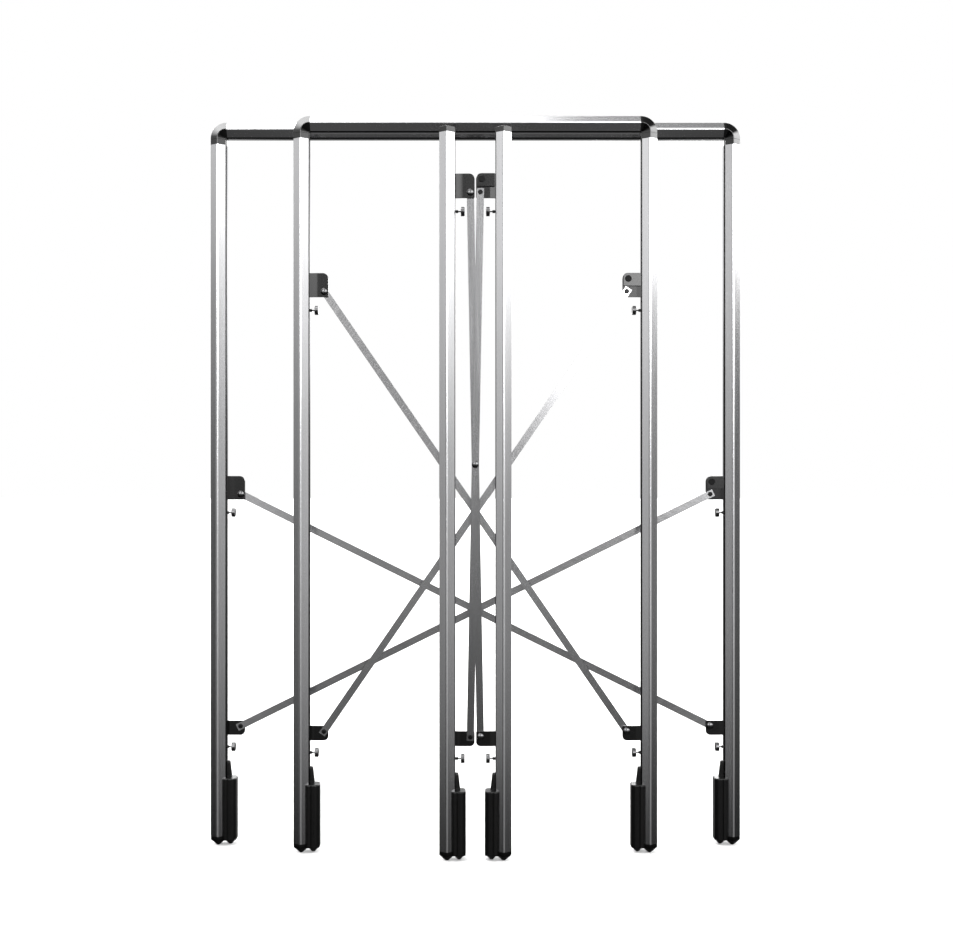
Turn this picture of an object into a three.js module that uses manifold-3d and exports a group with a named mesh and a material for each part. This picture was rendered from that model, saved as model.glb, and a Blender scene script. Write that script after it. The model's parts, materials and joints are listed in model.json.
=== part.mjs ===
// A nest of three folding frames. Each frame has two upright posts joined by a pair of crossed bars.
// The bars' lower ends turn on brackets fixed to the posts, and their upper ends turn on brackets that
// slide up and down slots in the posts, so that the frame folds flat. The back frame stands wide open,
// the middle frame is half open and the front frame is folded.
import * as THREE from 'three';
import { mergeVertices } from 'three/addons/utils/BufferGeometryUtils.js';
import Module from 'manifold-3d';

const wasm = await Module();
wasm.setup();

// Driving dimensions, in millimetres. A frame is drawn in its own plane: x across, y to the back and
// z up, with y = 0 at the side edges of the posts' front facets and z = 0 at the floor. A piece on a
// post is drawn for the left post, with x = 0 at the post's middle and +x towards the other post.
const GAP = 0.3;
const POST = { half: 20, ridge: 15, side: 29, lip: 1.6, wall: 2, bottom: 25, top: 1895, fillet: 1.8 };
const SLOT = { front: 1.2, back: 10, mouth: 17.5, roomFront: 0.2, roomBack: 12.5, floor: 8 };
const SCREW_Y = (SLOT.front + SLOT.back) / 2;
const COLLAR_TOP = 1909.3;
const RAIL = { axis: 1935, bend: 23, start: 25 };
const PLUG = { x: [-17.5, 5.5], y: [1.8, 26.5], length: 22 };
const BAR = { length: 1417.5, width: 19, end: 10, frontY: [-0.7, 2.5], rearY: [7.5, 10.7], hole: 3.5 };
const PIN = { x: 61, lowerZ: 322, radius: 3.1 };
const PLATE = { y: [3, 7], slotY: [5.4, 9.4], reach: 72.3, root: 16, neck: 22 };
const SHOE = { x: [8.5, 17], y: [0.6, 12.1], hole: 2.1 };
const UPPER = { top: 49, bottom: -15, screw: -50, shoe: -62 };
const LOWER = { top: 14, bottom: -25, screw: -57, shoe: -69 };
const PAD = { bottom: 14.5, x: [23, 70.3], y: -1.5, bossX: 57, bossZ: 34, bossRadius: 8.8, bossY: -3.4 };
const DOME = { radius: 9.5, height: 3.8 };
const KNOB = { radius: 12, x: [36, 46.5], edge: 1, stem: 1.7, collar: 3.9, collarX: [22.2, 29.5], tip: 10 };
const BOOT = { top: 181, skirt: 15, tipRadius: 4, secondX: 31.5, lugTop: 225 };
const TIE = { x: 300, length: 44, z: [1926, 1950] };
const HANGER = { half: 15, plate: 4, bottom: 1790, arm: [1912, 1924] };
const ROUND = 12;

// Each frame's distance back and half the distance between its posts' middles.
const FRAMES = [
  { name: 'back', y: 141, half: 696.5, railed: true },
  { name: 'middle', y: 70.5, half: 462.8, railed: true },
  { name: 'front', y: 0, half: 74, railed: false },
];

const MATERIALS = {
  aluminium: new THREE.MeshStandardMaterial({ color: 0xc4c7ca, roughness: 0.35, metalness: 1 }),
  bar: new THREE.MeshStandardMaterial({ color: 0x9a9a9c, roughness: 0.4, metalness: 1 }),
  bracket: new THREE.MeshStandardMaterial({ color: 0x1b1b1c, roughness: 0.45, metalness: 0.3 }),
  collar: new THREE.MeshStandardMaterial({ color: 0x2a2a2b, roughness: 0.2, metalness: 0.4 }),
  boot: new THREE.MeshStandardMaterial({ color: 0x151515, roughness: 0.7, metalness: 0 }),
  chrome: new THREE.MeshStandardMaterial({ color: 0xd8d8da, roughness: 0.12, metalness: 1 }),
};

// Turns a closed geometry into a solid that can be joined and cut.
function solid(geometry) {
  const bare = geometry.clone();
  bare.deleteAttribute('normal');
  bare.deleteAttribute('uv');
  const merged = mergeVertices(bare, 1e-4);
  const corners = merged.index.array;
  const triangles = [];
  for (let i = 0; i < corners.length; i += 3) {
    const [a, b, c] = [corners[i], corners[i + 1], corners[i + 2]];
    if (a !== b && b !== c && c !== a) triangles.push(a, b, c);
  }
  return new wasm.Manifold(new wasm.Mesh({
    numProp: 3,
    vertProperties: merged.attributes.position.array,
    triVerts: Uint32Array.from(triangles),
  }));
}

function geometryOf(body) {
  const mesh = body.getMesh();
  const geometry = new THREE.BufferGeometry();
  geometry.setAttribute('position', new THREE.BufferAttribute(mesh.vertProperties, 3));
  geometry.setIndex(new THREE.BufferAttribute(mesh.triVerts, 1));
  geometry.computeVertexNormals();
  return geometry;
}

// The same piece for a right post: x changes sign, and each triangle turns over to keep facing out.
function mirrored(geometry) {
  const copy = geometry.clone().scale(-1, 1, 1);
  const corners = copy.index.array;
  for (let i = 0; i < corners.length; i += 3) {
    [corners[i], corners[i + 1]] = [corners[i + 1], corners[i]];
  }
  copy.computeVertexNormals();
  return copy;
}

const shapeOf = (points) => new THREE.Shape(points.map(([x, y]) => new THREE.Vector2(x, y)));

// A section in x and y, standing from one height to another.
function upright(shape, from, to, curveSegments = 4) {
  const settings = { depth: to - from, bevelEnabled: false, curveSegments };
  return new THREE.ExtrudeGeometry(shape, settings).translate(0, 0, from);
}

// An outline in x and z, as thick as the given span in y.
function sheet(shape, [front, back], curveSegments = 4) {
  const settings = { depth: back - front, bevelEnabled: false, curveSegments };
  return new THREE.ExtrudeGeometry(shape, settings).rotateX(Math.PI / 2).translate(0, back, 0);
}

function block([x0, x1], [y0, y1], [z0, z1]) {
  const box = new THREE.BoxGeometry(x1 - x0, y1 - y0, z1 - z0);
  return box.translate((x0 + x1) / 2, (y0 + y1) / 2, (z0 + z1) / 2);
}

function rodAlongY(radius, [front, back], x = 0, z = 0, sides = ROUND) {
  const rod = new THREE.CylinderGeometry(radius, radius, back - front, sides);
  return rod.translate(x, (front + back) / 2, z);
}

// A turned piece about the y axis, from [radius, y] points in order of rising y.
function turned(points, sides = ROUND) {
  return new THREE.LatheGeometry(points.map(([r, y]) => new THREE.Vector2(r, y)), sides);
}

// The outline of a post without its slot: a ridged front, a flat back and, on the inner side, a lip
// that stands a little proud. Pieces that cap a post use it as it is, and cuts round a post grow it.
function coverOutline(grow = 0) {
  const half = POST.half + grow;
  const slope = POST.ridge / POST.half;
  const apex = -POST.ridge - grow * Math.hypot(1, slope);
  const edge = apex + slope * half;
  const back = POST.side + grow;
  return [
    [-half, edge], [0, apex], [half, edge],
    [half, SLOT.back - grow], [half + POST.lip, SLOT.back - grow], [half + POST.lip, back],
    [-half, back],
  ];
}

// The drawn aluminium section of posts and rails: hollow, with a slot along its inner side that is
// wider inside than at its mouth.
function extrusionShape() {
  const { half, ridge, side, lip, wall, fillet } = POST;
  const facet = (x) => -ridge * (1 - Math.abs(x) / half);
  const shape = new THREE.Shape();
  shape.moveTo(-half, 0);
  shape.lineTo(-fillet, facet(fillet));
  shape.quadraticCurveTo(0, -ridge, fillet, facet(fillet));
  shape.lineTo(half, 0);
  shape.lineTo(half, SLOT.front);
  shape.lineTo(SLOT.mouth, SLOT.front);
  shape.lineTo(SLOT.mouth, SLOT.roomFront);
  shape.lineTo(SLOT.floor, SLOT.roomFront);
  shape.lineTo(SLOT.floor, SLOT.roomBack);
  shape.lineTo(SLOT.mouth, SLOT.roomBack);
  shape.lineTo(SLOT.mouth, SLOT.back);
  shape.lineTo(half + lip, SLOT.back);
  shape.lineTo(half + lip, side);
  shape.lineTo(-half, side);
  const behindSlot = SLOT.roomBack + wall;
  const besideSlot = SLOT.floor - wall;
  const within = (x) => facet(x) + wall * Math.hypot(1, ridge / half);
  shape.holes.push(shapeOf([
    [wall - half, within(half - wall)], [0, within(0)], [besideSlot, within(besideSlot)],
    [besideSlot, behindSlot], [half + lip - wall, behindSlot],
    [half + lip - wall, side - wall], [wall - half, side - wall],
  ]));
  return shape;
}

const makePost = () => solid(upright(extrusionShape(), POST.bottom, POST.top, 3));

// A rail is the same section laid on its side, ridge to the front and slot underneath.
function makeRail(half) {
  const length = 2 * (half - RAIL.start);
  const rail = upright(extrusionShape(), 0, length, 3);
  return solid(rail.rotateY(Math.PI / 2).translate(RAIL.start - half, 0, RAIL.axis));
}

function makeCollar() {
  const cap = solid(upright(shapeOf(coverOutline()), POST.top + GAP, COLLAR_TOP));
  return cap.add(solid(block(PLUG.x, PLUG.y, [POST.top - PLUG.length, POST.top + GAP + 1])));
}

// The corner piece of a railed frame: the post's outline swept round a quarter turn, with a plug that
// goes into the rail's end.
function makeElbow() {
  const { axis, bend, start } = RAIL;
  const end = start - GAP;
  const pull = bend * (4 / 3) * (Math.SQRT2 - 1);
  const at = (x, z) => new THREE.Vector3(x, 0, z);
  const path = new THREE.CurvePath();
  path.add(new THREE.LineCurve3(at(0, COLLAR_TOP + GAP), at(0, axis - bend)));
  path.add(new THREE.CubicBezierCurve3(
    at(0, axis - bend), at(0, axis - bend + pull), at(bend - pull, axis), at(bend, axis),
  ));
  path.add(new THREE.LineCurve3(at(bend, axis), at(end, axis)));
  const section = shapeOf(coverOutline().map(([x, y]) => [-y, x]));
  const sweep = { extrudePath: path, steps: 12, bevelEnabled: false };
  const plug = block([end - 1, end + PLUG.length], PLUG.y, [axis - PLUG.x[1], axis - PLUG.x[0]]);
  return solid(new THREE.ExtrudeGeometry(section, sweep)).add(solid(plug));
}

// Half the section of a low dome that faces the front, from its crown to its edge at y = base.
function domeEdge(base) {
  const steps = 4;
  return Array.from({ length: steps + 1 }, (_, i) => {
    const angle = (i / steps) * (Math.PI / 2);
    return [DOME.radius * Math.sin(angle), base - DOME.height * Math.cos(angle)];
  });
}

// A bracket's sheet in front view: square at the post, with its outer corners rounded.
function bracketOutline({ top, bottom }, topRadius, bottomRadius) {
  const { root, reach } = PLATE;
  const shape = new THREE.Shape();
  shape.moveTo(root, bottom);
  shape.lineTo(reach - bottomRadius, bottom);
  shape.absarc(reach - bottomRadius, bottom + bottomRadius, bottomRadius, -Math.PI / 2, 0);
  shape.absarc(reach - topRadius, top - topRadius, topRadius, 0, Math.PI / 2);
  shape.lineTo(root, top);
  return shape;
}

// The bent sheet and the shoe that holds it in the post's slot, with z = 0 at the bar's pin. The sheet
// comes out of the slot at a slant and turns flat at the bend.
function bracketBody(size, bend, topRadius, bottomRadius) {
  const { y, slotY, root, neck, reach } = PLATE;
  const plan = shapeOf([
    [root, slotY[0]], [neck, slotY[0]], [bend, y[0]], [reach, y[0]],
    [reach, y[1]], [bend, y[1]], [neck, slotY[1]], [root, slotY[1]],
  ]);
  const outline = bracketOutline(size, topRadius, bottomRadius);
  const bent = solid(upright(plan, size.bottom, size.top));
  const shoe = solid(block(SHOE.x, SHOE.y, [size.shoe, size.top]));
  const hole = new THREE.CylinderGeometry(SHOE.hole, SHOE.hole, 30, ROUND).rotateZ(Math.PI / 2);
  hole.translate((SHOE.x[0] + SHOE.x[1]) / 2, SCREW_Y, size.screw);
  return bent.intersect(solid(sheet(outline, [-20, 40]))).add(shoe).subtract(solid(hole));
}

// The pin that the front bar turns on, with a six-sided head in front of the bar.
function frontPin() {
  const shank = solid(rodAlongY(PIN.radius, [BAR.frontY[0] - 0.6, PLATE.y[0] + 1], PIN.x, 0));
  const head = rodAlongY(5, [BAR.frontY[0] - 3.4, BAR.frontY[0] - 0.5], PIN.x, 0, 6);
  return shank.add(solid(head));
}

// The rivet that the rear bar turns on: a dome in front of the sheet and a flat head behind the bar.
function rearPin() {
  const shank = solid(rodAlongY(PIN.radius, [PLATE.y[1] - 1, BAR.rearY[1] + 0.6], PIN.x, 0));
  const tail = solid(rodAlongY(6.5, [BAR.rearY[1] + 0.5, BAR.rearY[1] + 2.3], PIN.x, 0));
  const base = PLATE.y[0] + 0.6;
  const dome = turned([...domeEdge(PLATE.y[0]), [DOME.radius, base], [0, base]]);
  return shank.add(tail).add(solid(dome.translate(PIN.x, 0, 0)));
}

// The bumper on the bracket above the front bar's upper end: a thick pad with a round boss.
function bumper() {
  const { bottom, x, y, bossX, bossZ, bossRadius, bossY } = PAD;
  const corner = 13;
  const top = UPPER.top;
  const shape = new THREE.Shape();
  shape.moveTo(x[0], bottom);
  shape.lineTo(x[1], bottom);
  shape.absarc(x[1] - corner, top - corner, corner, 0, Math.PI / 2);
  shape.lineTo(x[0], top);
  const boss = rodAlongY(bossRadius, [bossY, PLATE.y[0]], bossX, bossZ, ROUND + 4);
  return solid(sheet(shape, [y, PLATE.y[0] + 1])).add(solid(boss));
}

const BRACKETS = {
  left_upper_bracket: () => bracketBody(UPPER, 44, 15, 3).add(rearPin()),
  right_upper_bracket: () => bracketBody(UPPER, 36, 15, 3).add(frontPin()).add(bumper()),
  left_lower_bracket: () => bracketBody(LOWER, 34, 3, 12).add(frontPin()),
  right_lower_bracket: () => bracketBody(LOWER, 36, 3, 12).add(rearPin()),
};

// A thumb screw along +x, with its threaded tip in the shoe and its knob inside the frame.
function makeScrew() {
  const { radius, x, edge, stem, collar, collarX, tip } = KNOB;
  const body = turned([
    [0, tip], [stem, tip], [stem, collarX[0]], [collar, collarX[0]], [collar, collarX[1]],
    [stem, collarX[1]], [stem, x[0]], [radius - edge, x[0]], [radius, x[0] + edge],
    [radius, x[1] - edge], [radius - edge, x[1]], [0, x[1]],
  ]);
  return solid(body.rotateZ(-Math.PI / 2).translate(0, SCREW_Y, 0));
}

// A flat bar with a hole for each pin, lying along +x from its first pin.
function makeBar(span) {
  const { length, width, end, hole } = BAR;
  const outline = shapeOf([
    [-end, -width / 2], [length + end, -width / 2], [length + end, width / 2], [-end, width / 2],
  ]);
  for (const x of [0, length / 2, length]) {
    outline.holes.push(new THREE.Path().absarc(x, 0, hole, 0, 2 * Math.PI));
  }
  return solid(sheet(outline, span, ROUND / 2));
}

// The rivet through the bars' crossing, with a spacer between the two bars.
function makeCentreRivet() {
  const room = 0.4;
  const front = BAR.frontY[0] - room;
  const back = BAR.rearY[1] + room;
  const spacer = [BAR.frontY[1] + room, BAR.rearY[0] - room];
  const shank = PIN.radius;
  return solid(turned([
    ...domeEdge(front), [shank, front], [shank, spacer[0]], [8, spacer[0]], [8, spacer[1]],
    [shank, spacer[1]], [shank, back], [7, back], [7, back + 2], [0, back + 2],
  ]));
}

// The sleeve of a boot in plan: it wraps the post's inner side, with a groove down its front.
function sleeveShape() {
  const shape = new THREE.Shape();
  shape.moveTo(14.2, -3);
  shape.lineTo(14.2, -6.4);
  shape.quadraticCurveTo(15.5, -8.8, 19.5, -9.1);
  shape.lineTo(25.6, -9.8);
  shape.lineTo(27.1, -7.9);
  shape.lineTo(28.6, -9.8);
  shape.quadraticCurveTo(49, -10.5, 49.2, 12);
  shape.quadraticCurveTo(49.5, 38, 31, 38);
  shape.lineTo(16, 38);
  shape.quadraticCurveTo(12, 38, 12, 34);
  shape.lineTo(12, 0);
  return shape;
}

// A blunt cone that stands on the floor, as wide at its top as the boot above it.
function tipCone(x, y, halfWidth, halfDepth) {
  const { skirt, tipRadius } = BOOT;
  const cone = new THREE.CylinderGeometry(1, 1, skirt + 1, ROUND);
  const corners = cone.attributes.position;
  for (let i = 0; i < corners.count; i += 1) {
    const high = corners.getY(i) > 0;
    corners.setX(i, corners.getX(i) * (high ? halfWidth : tipRadius));
    corners.setZ(i, corners.getZ(i) * (high ? halfDepth : tipRadius));
  }
  return solid(cone.rotateX(Math.PI / 2).translate(x, y, (skirt + 1) / 2));
}

// A boot: a cap under the post, a sleeve up its inner side with a tapered lug on top, a plug in the
// post's hollow end and two blunt tips.
function makeBoot() {
  const { top, skirt, secondX, lugTop } = BOOT;
  const rim = 3;
  const sleeve = solid(upright(sleeveShape(), skirt, top - rim));
  const crown = solid(upright(sleeveShape(), top - rim - 1, top).translate(-32, -14, 0)
    .scale(0.9, 0.92, 1).translate(32, 14, 0));
  const room = solid(upright(shapeOf(coverOutline(GAP)), POST.bottom - GAP, lugTop + 10));
  const cap = solid(upright(shapeOf(coverOutline()), skirt, POST.bottom - GAP));
  const plug = solid(block(PLUG.x, PLUG.y, [skirt, POST.bottom + PLUG.length]));
  const lug = solid(sheet(shapeOf([
    [22.3, top - 5], [34, top - 5], [28, lugTop - 2], [26.5, lugTop], [22.3, lugTop],
  ]), [12, 27]));
  return sleeve.add(crown).add(lug).subtract(room).add(cap).add(plug)
    .add(tipCone(0, 7, 19.6, 21.5)).add(tipCone(secondX, 15, 17, 20));
}

// A block between the middle rail's back and the back rail's ridged front.
function makeTie() {
  const [middle, back] = [FRAMES[1], FRAMES[0]];
  const depth = back.y - middle.y;
  const body = solid(block([0, TIE.length], [POST.side + GAP, depth], TIE.z));
  return body.subtract(solid(railRoom(TIE.length, depth)));
}

// The space that a rail takes, a little grown, for cutting what butts against it.
function railRoom(length, y) {
  const room = upright(shapeOf(coverOutline(GAP)), -length, 2 * length);
  return room.rotateY(Math.PI / 2).translate(0, y, RAIL.axis);
}

// The hanger that holds the front frame's left post to the middle rail: a plate behind the post and
// an arm above the posts' collars to the rail's lower front facet.
function makeHanger() {
  const { half, plate, bottom, arm } = HANGER;
  const depth = FRAMES[1].y - FRAMES[2].y;
  const front = POST.side + GAP;
  const back = solid(block([-half, half], [front, front + plate], [bottom, arm[1]]));
  const reach = solid(block([-half, half], [front + 1, depth + 2], arm));
  return back.add(reach).subtract(solid(railRoom(4 * half, depth).translate(-2 * half, 0, 0)));
}

const nest = new THREE.Group();

function addPiece(parent, name, material, geometry, x = 0, y = 0, z = 0) {
  const mesh = new THREE.Mesh(geometry, MATERIALS[material].clone());
  mesh.name = name;
  mesh.position.set(x, y, z);
  parent.add(mesh);
  return mesh;
}

const POST_PIECES = {
  post: ['aluminium', geometryOf(makePost())],
  collar: ['collar', geometryOf(makeCollar())],
  boot: ['boot', geometryOf(makeBoot())],
};
const screwGeometry = geometryOf(makeScrew());
const elbowGeometry = geometryOf(makeElbow());
const frontBarGeometry = geometryOf(makeBar(BAR.frontY));
const rearBarGeometry = geometryOf(makeBar(BAR.rearY));
const rivetGeometry = geometryOf(makeCentreRivet());

// The angle of the bars to the floor follows from how far apart the posts stand.
function pinHeights(half) {
  const angle = Math.acos((2 * (half - PIN.x)) / BAR.length);
  return { angle, upperZ: PIN.lowerZ + BAR.length * Math.sin(angle) };
}

function addSide(group, frame, side, upperZ) {
  const sign = side === 'left' ? 1 : -1;
  const place = (geometry) => (sign > 0 ? geometry : mirrored(geometry));
  const x = -sign * frame.half;
  for (const [piece, [material, geometry]] of Object.entries(POST_PIECES)) {
    addPiece(group, `${frame.name}_${side}_${piece}`, material, place(geometry), x);
  }
  if (frame.railed) {
    addPiece(group, `${frame.name}_${side}_elbow`, 'collar', place(elbowGeometry), x);
  }
  for (const [level, z, size] of [['upper', upperZ, UPPER], ['lower', PIN.lowerZ, LOWER]]) {
    const bracket = geometryOf(BRACKETS[`${side}_${level}_bracket`]());
    addPiece(group, `${frame.name}_${side}_${level}_bracket`, 'bracket', place(bracket), x, 0, z);
    const screwZ = z + size.screw;
    addPiece(group, `${frame.name}_${side}_${level}_screw`, 'chrome', place(screwGeometry), x, 0, screwZ);
  }
}

function addBars(group, frame, angle, upperZ) {
  const left = PIN.x - frame.half;
  const front = addPiece(group, `${frame.name}_front_bar`, 'bar', frontBarGeometry, left, 0, PIN.lowerZ);
  front.rotation.y = -angle;
  const rear = addPiece(group, `${frame.name}_rear_bar`, 'bar', rearBarGeometry, left, 0, upperZ);
  rear.rotation.y = angle;
  const middleZ = (PIN.lowerZ + upperZ) / 2;
  addPiece(group, `${frame.name}_centre_rivet`, 'chrome', rivetGeometry, 0, 0, middleZ);
}

for (const frame of FRAMES) {
  const group = new THREE.Group();
  group.position.y = frame.y;
  nest.add(group);
  const { angle, upperZ } = pinHeights(frame.half);
  addSide(group, frame, 'left', upperZ);
  addSide(group, frame, 'right', upperZ);
  addBars(group, frame, angle, upperZ);
  if (frame.railed) {
    addPiece(group, `${frame.name}_rail`, 'aluminium', geometryOf(makeRail(frame.half)));
  }
}

const tieGeometry = geometryOf(makeTie());
addPiece(nest, 'left_rail_tie', 'bracket', tieGeometry, -TIE.x - TIE.length, FRAMES[1].y);
addPiece(nest, 'right_rail_tie', 'bracket', tieGeometry, TIE.x, FRAMES[1].y);
addPiece(nest, 'front_hanger', 'bracket', geometryOf(makeHanger()), -FRAMES[2].half);

// The origin is on the floor, in the middle of the nest.
const bounds = new THREE.Box3().setFromObject(nest, true);
const middle = bounds.getCenter(new THREE.Vector3());
nest.position.set(-middle.x, -middle.y, -bounds.min.z);

const model = new THREE.Group();
model.add(nest);

export default model;
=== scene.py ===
import json
import math

import bmesh
import bpy
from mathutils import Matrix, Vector


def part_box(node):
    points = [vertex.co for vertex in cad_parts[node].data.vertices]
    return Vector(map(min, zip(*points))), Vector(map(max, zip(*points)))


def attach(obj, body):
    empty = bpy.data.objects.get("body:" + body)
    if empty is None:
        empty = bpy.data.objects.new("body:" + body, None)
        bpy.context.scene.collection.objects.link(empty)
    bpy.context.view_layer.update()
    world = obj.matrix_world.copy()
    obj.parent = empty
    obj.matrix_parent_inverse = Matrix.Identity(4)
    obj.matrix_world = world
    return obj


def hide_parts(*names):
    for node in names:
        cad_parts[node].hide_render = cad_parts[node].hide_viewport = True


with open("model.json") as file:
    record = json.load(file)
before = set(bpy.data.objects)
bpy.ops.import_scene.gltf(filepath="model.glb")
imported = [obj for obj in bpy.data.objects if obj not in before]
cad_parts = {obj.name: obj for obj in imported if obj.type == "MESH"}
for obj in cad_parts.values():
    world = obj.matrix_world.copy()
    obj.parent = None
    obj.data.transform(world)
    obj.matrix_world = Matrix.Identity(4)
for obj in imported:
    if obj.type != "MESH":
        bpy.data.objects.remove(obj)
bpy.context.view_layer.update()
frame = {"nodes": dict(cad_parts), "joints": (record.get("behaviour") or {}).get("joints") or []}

# Three nested folding frames. Every size below is in millimetres and is scaled once, by MM. A piece on
# a post is drawn with u across (towards the frame's inside), v to the back from the edges of the
# post's front facets, and z up.
MM = 0.001
FRAMES = ("back", "middle", "front")
RAILED = ("back", "middle")
SIDES = {"left": 1, "right": -1}
LEVELS = ("upper", "lower")

# The posts' section, with the slot's mouth and the wider room behind it.
POST_HALF, RIDGE, SIDE_DEPTH, LIP, WALL = 20.0, 15.0, 29.0, 1.6, 2.0
SLOT_FRONT, SLOT_BACK, SLOT_MOUTH, SLOT_FLOOR = 1.2, 10.0, 17.5, 8.0
ROOM_FRONT, ROOM_BACK = 0.2, 12.5
LIP_ROUNDING = 0.4
POST_CENTRE = (0, 10)

# The black corners: the bend's radius to the post's middle, and the fine edge at both ends.
BEND, BEND_STEPS, CORNER_LENGTH, CORNER_EDGE = 23.0, 20, 24.7, 0.2
COLLAR_GAP = 0.3

# The brackets. A drop is how far something is below the bracket's pin.
PIN_U, PIN_RADIUS = 61.0, 3.1
SHEET_ROOT, SHEET_NECK, SHEET_REACH = 16.0, 22.0, 72.3
SHEET_THICK, SHEET_CHAMFER = 4.0, 0.5
SHEET_OUTER_V, SHEET_INNER_V, SHEET_EASE = 5.0, 7.4, 1.5
UPPER_TOP = 49
SHOE_DROP = {"upper": 62, "lower": 69}
PAD_INNER, PAD_OUTER, PAD_BOTTOM = 23, 70.3, 14.5
BOSS_U, BOSS_RISE = 57, 34

# Rivets, screws and bars.
DOME_RADIUS, DOME_HEIGHT, DOME_RIM, DOME_STEPS = 9.5, 3.8, 0.2, 9
BRACKET_DOME, CENTRE_DOME = 3.0, -1.1
SCREW_V = (SLOT_FRONT + SLOT_BACK) / 2
SCREW_DROP = {"upper": 50, "lower": 57}
KNURL_DEPTH = 0.35
BAR_EDGE, TIE_EDGE = 0.35, 0.6

# The boots: the height of the skirts that narrow to the tips, and the lobe beside the post.
SKIRT, LOBE_TOP, CAP_GAP = 15.5, 24, 0.3
TIP_RADIUS, TIP_SIDES = 4, 48
CAP_CENTRE, LOBE_CENTRE, LOBE_HALF = (0, 7), (31.5, 15), (17.2, 21.5)
SLEEVE_CENTRE = (33, 14)

# Limits used while drawing: the most of an edge that one rounded corner takes, points that are one
# point, and lines that are parallel.
CORNER_SHARE, SAME_POINT, PARALLEL = 0.48, 1e-6, 1e-9


# ---------------------------------------------------------------- outlines and mesh helpers

def rounded(points, radii, steps=4):
    """A closed outline with its corners rounded. radii is one number or one for each point."""
    count = len(points)
    radii = [radii] * count if isinstance(radii, (int, float)) else radii
    out = []
    for i, corner in enumerate(points):
        p = Vector(corner)
        before, after = Vector(points[i - 1]) - p, Vector(points[(i + 1) % count]) - p
        if radii[i] <= 0:
            out.append(tuple(p))
            continue
        half = before.angle(after) / 2
        cut = min(radii[i] / math.tan(half), before.length * CORNER_SHARE, after.length * CORNER_SHARE)
        a, b = p + before.normalized() * cut, p + after.normalized() * cut
        for k in range(steps + 1):
            t = k / steps
            out.append(tuple(a * (1 - t) ** 2 + p * 2 * t * (1 - t) + b * t ** 2))
    return out


def inset(outline, centre, amount):
    """An outline drawn in towards a centre by about an amount."""
    out = []
    for u, v in outline:
        away = Vector((u - centre[0], v - centre[1]))
        out.append(tuple(Vector(centre) + away * max(0.0, 1 - amount / away.length)))
    return out


def ellipse(centre, half, count):
    angles = [2 * math.pi * i / count for i in range(count)]
    return [(centre[0] + half[0] * math.cos(a), centre[1] + half[1] * math.sin(a)) for a in angles]


def ring(bm, points):
    return [bm.verts.new(Vector(p) * MM) for p in points]


def bridge(bm, first, second):
    """Faces between two rings with the same number of points."""
    count = len(first)
    for i in range(count):
        j = (i + 1) % count
        bm.faces.new((first[i], first[j], second[j], second[i]))


def loft(bm, rings):
    """A closed shape through rings of points."""
    made = [ring(bm, points) for points in rings]
    for first, second in zip(made, made[1:]):
        bridge(bm, first, second)
    bm.faces.new(made[0])
    bm.faces.new(made[-1])


def turned(bm, profile, place, sides=40, knurled=()):
    """A turned piece from [radius, along] points. place(a, b, along) gives a point from two distances
    across the axis and one along it. Rows named in knurled have shallow teeth."""
    rows = []
    for row, (radius, along) in enumerate(profile):
        if radius <= 0:
            rows.append([bm.verts.new(Vector(place(0, 0, along)) * MM)])
            continue
        points = []
        for i in range(sides):
            angle = 2 * math.pi * i / sides
            r = radius - (KNURL_DEPTH if row in knurled and i % 2 else 0)
            points.append(place(r * math.cos(angle), r * math.sin(angle), along))
        rows.append(ring(bm, points))
    for first, second in zip(rows, rows[1:]):
        if len(first) == 1 or len(second) == 1:
            tip, base = (first[0], second) if len(first) == 1 else (second[0], first)
            for i in range(sides):
                bm.faces.new((tip, base[i], base[(i + 1) % sides]))
        else:
            bridge(bm, first, second)


def mesh_from(name, make, weld):
    """A mesh made by make(bm), with all its faces turned outwards."""
    bm = bmesh.new()
    make(bm)
    if weld:
        bmesh.ops.remove_doubles(bm, verts=bm.verts, dist=SAME_POINT)
    bmesh.ops.recalc_face_normals(bm, faces=bm.faces)
    mesh = bpy.data.meshes.new(name)
    bm.to_mesh(mesh)
    bm.free()
    return mesh


def add_object(name, mesh):
    obj = bpy.data.objects.new(name, mesh)
    bpy.context.scene.collection.objects.link(obj)
    return obj


def piece(name, body, material, make, replaces=(), smooth=32, others=()):
    """A mesh made by make(bm), in place in the row frame, that rides on a body."""
    mesh = mesh_from(name, make, weld=True)
    for face in mesh.polygons:
        face.use_smooth = True
    mesh.set_sharp_from_angle(angle=math.radians(smooth))
    for each in (material, *others):
        mesh.materials.append(each)
    obj = add_object(name, mesh)
    flat = obj.modifiers.new("flat_faces", "WEIGHTED_NORMAL")
    flat.keep_sharp, flat.weight = True, 100
    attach(obj, body)
    if replaces:
        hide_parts(*replaces)


def soft_edges(obj, width):
    """Rounds the sharp edges of a piece that keeps its own mesh."""
    bevel = obj.modifiers.new("soft_edges", "BEVEL")
    bevel.width, bevel.segments, bevel.limit_method = width * MM, 2, "ANGLE"
    bevel.angle_limit = math.radians(40)


# ---------------------------------------------------------------- where things are

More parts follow.
